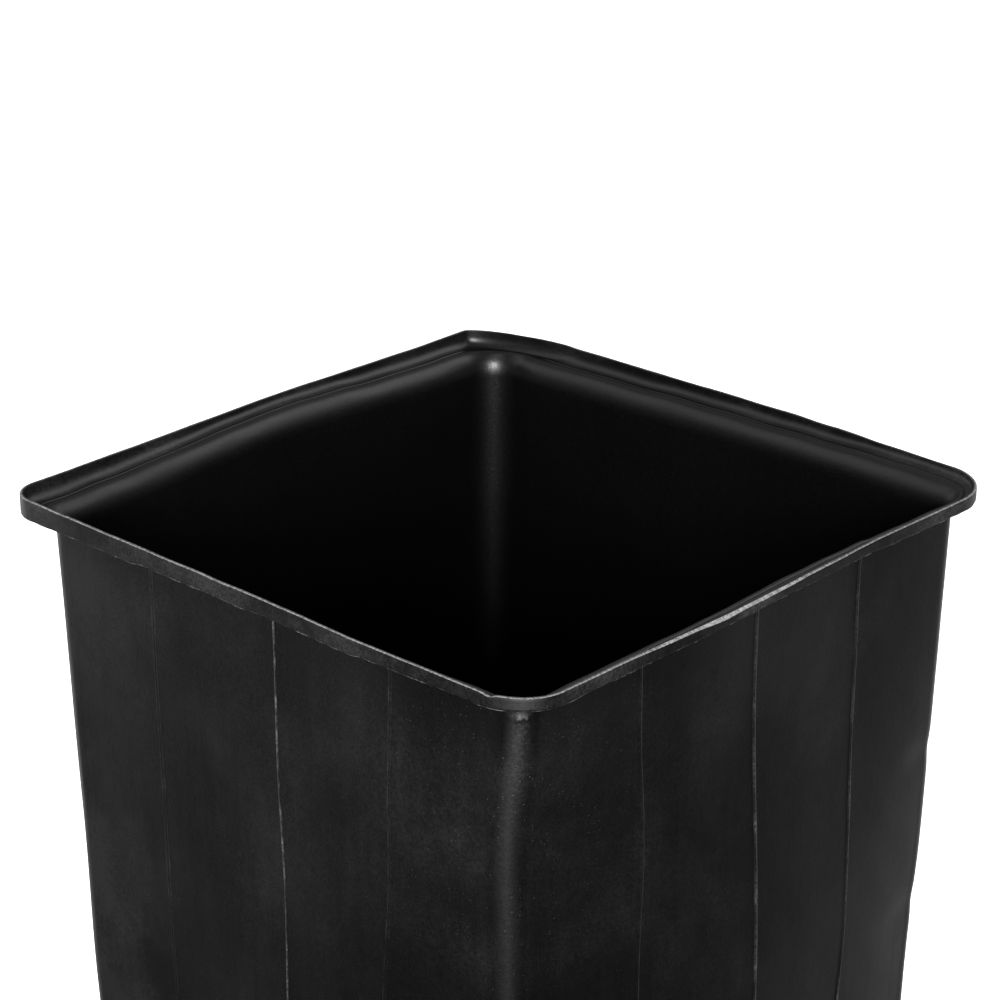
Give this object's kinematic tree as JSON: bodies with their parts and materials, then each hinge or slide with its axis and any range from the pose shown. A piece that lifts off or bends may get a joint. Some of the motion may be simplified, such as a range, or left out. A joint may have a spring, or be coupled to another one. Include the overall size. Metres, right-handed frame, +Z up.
{
  "type": "florist bucket",
  "caption": "Tall square tapered bucket for cut flowers, moulded in black plastic, with slim upright ribs, rounded corners, a flared ledge and an upstanding trimmed lip.",
  "frame": {"origin": "middle of the standing plane, under the centre of the bucket", "axes": "+Z up, front wall towards -Y, right wall towards +X"},
  "size_m": [0.24, 0.24, 0.37],
  "materials": {
    "black_polyethylene": "satin black, faintly mottled and dusty",
    "rubbed_rib": "satin black, rubbed lighter along the crest",
    "trimmed_lip": "satin black with a paler cut edge"
  },
  "bodies": {
    "root": {"base_panel": "black_polyethylene", "foot_ring": "black_polyethylene", "heel_ring": "black_polyethylene", "front_wall": "black_polyethylene", "right_wall": "black_polyethylene", "back_wall": "black_polyethylene", "left_wall": "black_polyethylene", "front_right_corner": "black_polyethylene", "back_right_corner": "black_polyethylene", "back_left_corner": "black_polyethylene", "front_left_corner": "black_polyethylene", "front_ribs": "rubbed_rib", "right_ribs": "rubbed_rib", "back_ribs": "rubbed_rib", "left_ribs": "rubbed_rib", "rim_ledge": "black_polyethylene", "rim_lip": "trimmed_lip"}
  },
  "joints": []
}
